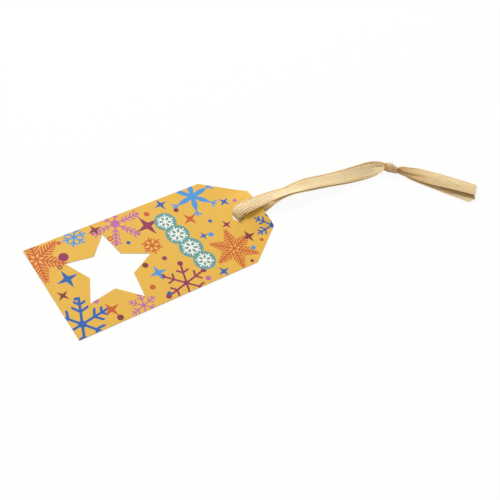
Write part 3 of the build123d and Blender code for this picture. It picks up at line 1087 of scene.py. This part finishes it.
def fringe_piece(name, sheet, seed):
    """Frayed cut end: short threads of uneven length that leave a tail's last row at uneven places."""
    chance = np.random.default_rng(seed)
    columns = sheet.shape[1]
    place = np.sort(chance.uniform(0.0, columns - 1.0, FRINGE_THREADS))
    roots = np.stack([np.interp(place, np.arange(columns), sheet[-1, :, k]) for k in range(3)], axis=1)
    run = unit((sheet[-1] - sheet[-4]).mean(axis=0))
    side = unit(sheet[-1, -1] - sheet[-1, 0])
    length = FRINGE_LENGTH * chance.uniform(*FRINGE_UNEVEN, FRINGE_THREADS)[:, None]
    ways = length * (run + side * chance.normal(0.0, FRINGE_STRAY, FRINGE_THREADS)[:, None])
    bends = length * chance.normal(0.0, FRINGE_BEND, (FRINGE_THREADS, 3))
    bends[:, 2] = np.abs(bends[:, 2])
    return threads_piece(name, roots - run * FRINGE_INSET, ways, bends, FRINGE_RADIUS)


RIBBON_THREAD = new_material("ribbon_thread", THREAD_FINISH)[0]
fringe_front = fringe_piece("fringe_front", front_tail_sheet[0], FRONT_FRINGE_SEED)
fringe_back = fringe_piece("fringe_back", back_tail_sheet[0], BACK_FRINGE_SEED)


# Knot.

def knot_axes():
    """Unit vectors along the knot, across it on the level, and up."""
    along = np.array([math.cos(KNOT_HEADING), math.sin(KNOT_HEADING), 0.0])
    across = np.array([-math.sin(KNOT_HEADING), math.cos(KNOT_HEADING), 0.0])
    return along, across, np.array([0.0, 0.0, 1.0])


def knot_points(place, beside, above):
    """Points at places along the knot, beside its middle line and above it."""
    along, across, up = knot_axes()
    return (
        np.array(KNOT_ENTRY)
        + along * place[..., None]
        + across * beside[..., None]
        + up * above[..., None]
    )


# Core: sizes in metres, rows along and columns round it, pleats and their twist, and its belly's shares.
CORE_RADIUS = 1.9 * MM
CORE_START = 1.5 * MM
CORE_LENGTH = 5.3 * MM
CORE_GRID = (30, 88)
CORE_PLEAT = 0.16 * MM
CORE_PLEATS = 11.0
CORE_TWIST = 2.0
CORE_ENDS = 0.9
CORE_SWELL = 0.16
CORE_SHRINK = 0.4
CORE_SHRINK_FROM = 0.72
CORE_SHRINK_OVER = 0.2
KNOT_FLAT = 0.9
# Turns of ribbon round the bundle: name, place along the knot, width, slant, its angle in degrees, radius.
KNOT_TURNS = [
    ("knot_wrap", 3.0 * MM, 4.8 * MM, 0.2 * MM, 110.0, 2.45 * MM),
    ("knot_tuck", 5.3 * MM, 4.4 * MM, 0.5 * MM, 215.0, 2.15 * MM),
]
TURN_GRID = (120, 41)
TURN_TUCK = 0.55 * MM
TURN_DRIFT = 0.13
# Uneven pleats of a turn: height, count across, phase and drift round the turn.
TURN_PLEATS = [(0.06 * MM, 1.7, 0.7, 0.9), (0.04 * MM, 3.6, 2.1, 1.4)]
# Painted shade on a turn's underside: its start and end with the lengths of their fades, in degrees, and its
# depth.
UNDERSIDE_START = 172.0
UNDERSIDE_START_FADE = 25.0
UNDERSIDE_END = (300.0, 40.0)
UNDERSIDE_SHADE = 0.7


def make_knot_core():
    """Gathered bundle inside the wrap: a tube along the knot with lengthwise pleats and closed ends.

    Radius is the core's times a belly, 0.9 + 0.16 sin(pi t)^2, which shrinks near the far end, plus pleats
    cos(11 angle + 2 t)."""
    rows, columns = CORE_GRID
    t = np.linspace(0.0, 1.0, rows)[:, None]
    angle = np.linspace(0.0, math.tau, columns + 1)[None, :-1]
    shrink = CORE_SHRINK * smooth((t - CORE_SHRINK_FROM) / CORE_SHRINK_OVER)
    belly = CORE_ENDS + CORE_SWELL * np.sin(math.pi * t) ** 2 - shrink
    radius = CORE_RADIUS * belly + CORE_PLEAT * np.cos(CORE_PLEATS * angle + CORE_TWIST * t)
    place = CORE_START + CORE_LENGTH * t
    points = knot_points(place, radius * np.cos(angle), radius * KNOT_FLAT * np.sin(angle))
    ends = np.stack([points[0].mean(axis=0), points[-1].mean(axis=0)])
    count = rows * columns
    ring = np.arange(columns)
    after = np.roll(ring, -1)
    first = np.stack([ring, after, np.full(columns, count)], axis=1)
    last = np.stack([after, ring, np.full(columns, count + 1)], axis=1)
    last[:, :2] += count - columns
    sides = grid_faces(rows, columns, closed_columns=True)
    faces = [face for part in (sides, first, last) for face in part[:, ::-1].tolist()]
    skin = np.concatenate([points.reshape(-1, 3), ends])
    piece = new_piece("knot_core", skin, faces, [KNOT_SHADED_CLOTH], ALL_SMOOTH)
    pairs = np.stack(np.broadcast_arrays(angle / math.tau, t), axis=-1)
    set_uv(piece, np.concatenate([pairs.reshape(-1, 2), [[0.5, 0.0], [0.5, 1.0]]]))
    return piece


def make_knot_turn(name, middle, width, slant, slant_angle, reach):
    """One turn of ribbon round the bundle: a slanting closed band, unevenly pleated, tucked at its far rim.

    At the angle a and the share w across the band, the place along the knot is middle + w * width + slant *
    cos(a - slant angle), and the band drifts to the near side on the way. The radius is the reach, less a
    tuck that grows with (2w)^3 past the band's middle, plus the pleats: the sum of height * cos(2 pi count w
    + phase + drift * sin(a + phase)). A painted shade lies along the underside, where a is between 172 and
    300 degrees."""
    rows, columns = TURN_GRID
    angle = np.linspace(0.0, math.tau, rows)[:, None]
    w = np.linspace(-0.5, 0.5, columns)[None, :]
    radius = reach - TURN_TUCK * np.maximum(2.0 * w, 0.0) ** 3
    for height, count, phase, drift in TURN_PLEATS:
        radius = radius + height * np.cos(math.tau * count * w + phase + drift * np.sin(angle + phase))
    place = middle + w * width + slant * np.cos(angle - math.radians(slant_angle))
    beside = radius * np.cos(angle) - TURN_DRIFT * (place - middle)
    points = knot_points(place, beside, radius * KNOT_FLAT * np.sin(angle))
    points[..., 2] = np.maximum(points[..., 2], RIBBON_LOWEST)
    uv = np.stack(np.broadcast_arrays(w + 0.5, angle * reach / RIBBON_WIDTH), axis=-1)
    turn = np.degrees(angle)
    # Painted shade along the turn's underside.
    under = smooth((turn - UNDERSIDE_START) / UNDERSIDE_START_FADE) * fade(turn, *UNDERSIDE_END)
    return cloth_piece(name, points, uv, np.broadcast_to(UNDERSIDE_SHADE * under, radius.shape), KNOT_SHADED_CLOTH)


# Fuzz of the knot: lengths in metres, places as shares of the knot's length, angles in degrees.
FUZZ_THREADS = 22
FUZZ_LENGTH = 2.1 * MM
FUZZ_ROOT = 2.1 * MM
FUZZ_RADIUS = 0.06 * MM
FUZZ_PLACES = (0.30, 0.62)
FUZZ_ANGLES = (35.0, 115.0)
FUZZ_UNEVEN = (0.4, 1.1)
FUZZ_STRAY = 0.35
FUZZ_BEND = 0.3
FUZZ_SEED = 5


def make_knot_fuzz():
    """Fuzz on the knot: a few fine threads that stand up from the top of its turns and curl over."""
    chance = np.random.default_rng(FUZZ_SEED)
    along, across, up = knot_axes()
    place = chance.uniform(*FUZZ_PLACES, FUZZ_THREADS)[:, None] * KNOT_LENGTH
    angle = np.radians(chance.uniform(*FUZZ_ANGLES, FUZZ_THREADS))[:, None]
    way = across * np.cos(angle) + up * np.sin(angle)
    roots = np.array(KNOT_ENTRY) + along * place + way * FUZZ_ROOT
    length = FUZZ_LENGTH * chance.uniform(*FUZZ_UNEVEN, FUZZ_THREADS)[:, None]
    ways = length * (way + along * chance.normal(0.0, FUZZ_STRAY, FUZZ_THREADS)[:, None])
    bends = length * chance.normal(0.0, FUZZ_BEND, (FUZZ_THREADS, 3))
    return threads_piece("knot_fuzz", roots, ways, bends, FUZZ_RADIUS)


knot_core = make_knot_core()
knot_turns = [make_knot_turn(*turn) for turn in KNOT_TURNS]
knot_fuzz = make_knot_fuzz()


# Card.

def bow_height(x, y):
    """Height of the card's printed face, which bows up towards the hole end, most of all in the end's middle.

    The lift at the end is p = rise - fall * (y - side)^2, kept above the low corner by low + soft * log(1 +
    exp((p - low) / soft)); along the card it grows with the square of the way past the bow's start."""
    past = np.maximum(x - (CARD_HIGH.x - BOW_LENGTH), 0.0) / BOW_LENGTH
    peak = BOW_RISE - BOW_FALL * (y - BOW_SIDE) ** 2
    lift = BOW_LOW + BOW_SOFT * np.logaddexp(0.0, (peak - BOW_LOW) / BOW_SOFT)
    return CARD_THICKNESS + lift * past**2


def between_corners(corners, step):
    """Points along a closed outline, every step or a little less, with each corner kept."""
    rows = []
    for a, b in zip(corners, np.roll(corners, -1, axis=0)):
        count = max(1, math.ceil(np.linalg.norm(b - a) / step))
        rows.append(a + (b - a) * (np.arange(count) / count)[:, None])
    return np.concatenate(rows)


# Rays from a centre to an outline: the least crossing, the slack at a side's ends and the angles' digits.
RAY_LEAST = 1e-15
RAY_SLACK = 1e-6
RAY_DIGITS = 9


def rays(angle):
    """Unit vectors on the level at each angle."""
    return np.stack([np.cos(angle), np.sin(angle)], axis=-1)


def outline_reach(centre, corners, angle):
    """Distance from the centre to a closed outline along each angle, where the ray meets one of its sides."""
    a = corners - centre
    b = np.roll(a, -1, axis=0)
    ray = rays(angle)
    side = b - a
    cross_ray = ray[:, None, 0] * side[None, :, 1] - ray[:, None, 1] * side[None, :, 0]
    cross_side = (a[:, 0] * side[:, 1] - a[:, 1] * side[:, 0])[None]
    safe = np.where(np.abs(cross_ray) < RAY_LEAST, RAY_LEAST, cross_ray)
    distance = cross_side / safe
    hit = ray[:, None, :] * distance[..., None]
    share = ((hit - a[None]) * side[None]).sum(axis=2) / (side * side).sum(axis=1)[None]
    good = (share > -RAY_SLACK) & (share < 1.0 + RAY_SLACK) & (distance > 0.0)
    return np.where(good, distance, np.inf).min(axis=1)


def ring_field(centre, inner, outer, rows):
    """Grid between two outlines round one centre: even steps from the inner to the outer along each angle."""
    corners = np.concatenate([inner, outer]) - centre
    angle = np.unique(np.round(np.arctan2(corners[:, 1], corners[:, 0]), RAY_DIGITS))
    near = outline_reach(centre, inner, angle)
    far = outline_reach(centre, outer, angle)
    share = np.linspace(0.0, 1.0, rows)[:, None]
    reach = near + (far - near) * share
    flat = centre + rays(angle)[None] * reach[..., None]
    height = bow_height(flat[..., 0], flat[..., 1])
    return np.concatenate([flat, height[..., None]], axis=-1)


# The card's material slots after the printed face's.
BACK_SLOT = 1
EDGE_SLOT = 2


def make_card(face, back, edge):
    """The card: one ring of sheet round the star window and one round the hole, joined on a shared line."""
    low, high = CARD_LOW, CARD_HIGH
    star = np.array([low.x + STAR_FROM_FOOT, 0.0])
    hole = np.array([high.x - HOLE_FROM_END, 0.0])
    corner = np.arange(2 * STAR_POINTS)
    star_reach = np.where(corner % 2 == 0, STAR_TIP, STAR_NOTCH)
    window = star + rays(math.tau * corner / (2 * STAR_POINTS)) * star_reach[:, None]
    punch = hole + HOLE_RADIUS * rays(math.tau * np.arange(HOLE_STEPS) / HOLE_STEPS)
    foot = np.array([(low.x, low.y), (CARD_SPLIT, low.y), (CARD_SPLIT, high.y), (low.x, high.y)])
    shoulder = high.x - SHOULDER_LENGTH
    end_half = high.y - SHOULDER_DEPTH
    head = np.array([
        (CARD_SPLIT, low.y), (shoulder, low.y), (high.x, -end_half),
        (high.x, end_half), (shoulder, high.y), (CARD_SPLIT, high.y),
    ])
    fields = [
        ring_field(star, window, between_corners(foot, CARD_STEP), STAR_ROWS),
        ring_field(hole, punch, between_corners(head, CARD_STEP), HOLE_ROWS),
    ]
    points = np.concatenate([field.reshape(-1, 3) for field in fields])
    first, second = (grid_faces(*field.shape[:2], closed_columns=True) for field in fields)
    faces = np.concatenate([first, second + fields[0].shape[0] * fields[0].shape[1]])
    piece = new_piece("printed_card", points, faces.tolist(), [face, back, edge])
    shape = bmesh.new()
    shape.from_mesh(piece.data)
    bmesh.ops.remove_doubles(shape, verts=shape.verts, dist=CARD_WELD)
    bmesh.ops.recalc_face_normals(shape, faces=shape.faces)
    if sum(one.normal.z for one in shape.faces) < 0:
        bmesh.ops.reverse_faces(shape, faces=shape.faces)
    shape.to_mesh(piece.data)
    shape.free()
    wall = piece.modifiers.new("thickness", "SOLIDIFY")
    wall.thickness = CARD_THICKNESS
    wall.offset = -1.0
    wall.material_offset = BACK_SLOT
    wall.material_offset_rim = EDGE_SLOT
    bevel = piece.modifiers.new("cut_edge", "BEVEL")
    bevel.width = CARD_EDGE_ROUND
    bevel.segments = CARD_EDGE_STEPS
    bevel.limit_method = "ANGLE"
    bevel.angle_limit = math.radians(CARD_EDGE_ANGLE)
    bevel.material = EDGE_SLOT
    return piece


printed_card = make_card(
    make_printed_face(),
    make_plain_paper("card_back", CARD_BACK, BACK_DEPTH),
    make_plain_paper("card_cut_edge", CARD_CORE, CUT_DEPTH),
)


# Table, light and world.

WHITE = (1.0, 1.0, 1.0, 1.0)
WARM_WHITE = (1.0, 0.94, 0.84, 1.0)
WORLD_LEVEL = 0.36
TABLE_HALF = 6.0
TABLE_DROP = 0.05 * MM
TABLE_FINISH = {"Base Color": linear(252, 252, 252), "Roughness": 0.9, "Specular IOR Level": 0.0}
TABLE_OWN_LIGHT = 0.93
# Lamps: name, place, size, power and colour. Each faces the target.
LAMP_TARGET = (0.05, 0.0, 0.0)
LAMPS = [
    ("key", (0.25, 1.18, 0.85), 0.6, 21.0, WHITE),
    ("fill", (-0.45, -0.75, 0.7), 0.9, 2.6, WARM_WHITE),
]


def make_table():
    """White table: a flat square that the camera sees partly in its own white and partly lit and shaded."""
    material, tree, shader = new_material("table_white", TABLE_FINISH)
    glow = add(tree, "ShaderNodeEmission", {"Color": WHITE, "Strength": 1.0})
    path = add(tree, "ShaderNodeLightPath").outputs
    kinds = ("Is Camera Ray", "Is Glossy Ray", "Is Transmission Ray")
    seen = chained(tree, "MAXIMUM", *(path[kind] for kind in kinds))
    share = maths(tree, "MULTIPLY", seen, TABLE_OWN_LIGHT)
    blend = add(tree, "ShaderNodeMixShader", {0: share, 1: shader.outputs[0], 2: glow.outputs[0]})
    tree.links.new(blend.outputs[0], tree.nodes["Material Output"].inputs["Surface"])
    corners = np.array([(-1.0, -1.0, 0.0), (1.0, -1.0, 0.0), (1.0, 1.0, 0.0), (-1.0, 1.0, 0.0)]) * TABLE_HALF
    corners[:, 2] = -TABLE_DROP
    table = new_piece("table", corners, [[0, 1, 2, 3]], [material])


def make_world():
    """Even surroundings: warm white at a plain level for light, and white where the camera sees them."""
    world = bpy.data.worlds.new("studio")
    world.use_nodes = True
    tree = world.node_tree
    shade = tree.nodes["Background"]
    seen = add(tree, "ShaderNodeLightPath").outputs["Is Camera Ray"]
    tree.links.new(mixed(tree, seen, WARM_WHITE, WHITE), shade.inputs["Color"])
    tree.links.new(ranged(tree, seen, WORLD_LEVEL, 1.0), shade.inputs["Strength"])
    bpy.context.scene.world = world


def make_lamp(name, place, size, power, colour):
    """Square soft lamp at a place, facing the target."""
    data = bpy.data.lights.new(name, "AREA")
    data.size = size
    data.energy = power
    data.color = colour[:3]
    lamp = new_object(name, data)
    lamp.location = place
    lamp.rotation_euler = (Vector(LAMP_TARGET) - Vector(place)).to_track_quat("-Z", "Y").to_euler()


make_table()
make_world()
for lamp_values in LAMPS:
    make_lamp(*lamp_values)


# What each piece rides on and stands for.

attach(printed_card, "card")
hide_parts("tag_card")

for leg in (ribbon_front, ribbon_back):
    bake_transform(leg)
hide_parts("ribbon_bight", "ribbon_front_leg")
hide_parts("ribbon_back_leg")

for piece, body in (
    (knot_core, "loop"),
    (knot_turns[0], "loop"),
    (knot_turns[1], "loop"),
    (knot_fuzz, "loop"),
    (tail_front, "front_tail"),
    (fringe_front, "front_tail"),
    (tail_back, "back_tail"),
    (fringe_back, "back_tail"),
):
    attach(piece, body)
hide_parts("ribbon_knot")
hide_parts("ribbon_front_tail")
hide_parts("ribbon_back_tail")

bpy.context.scene.view_settings.view_transform = "Standard"
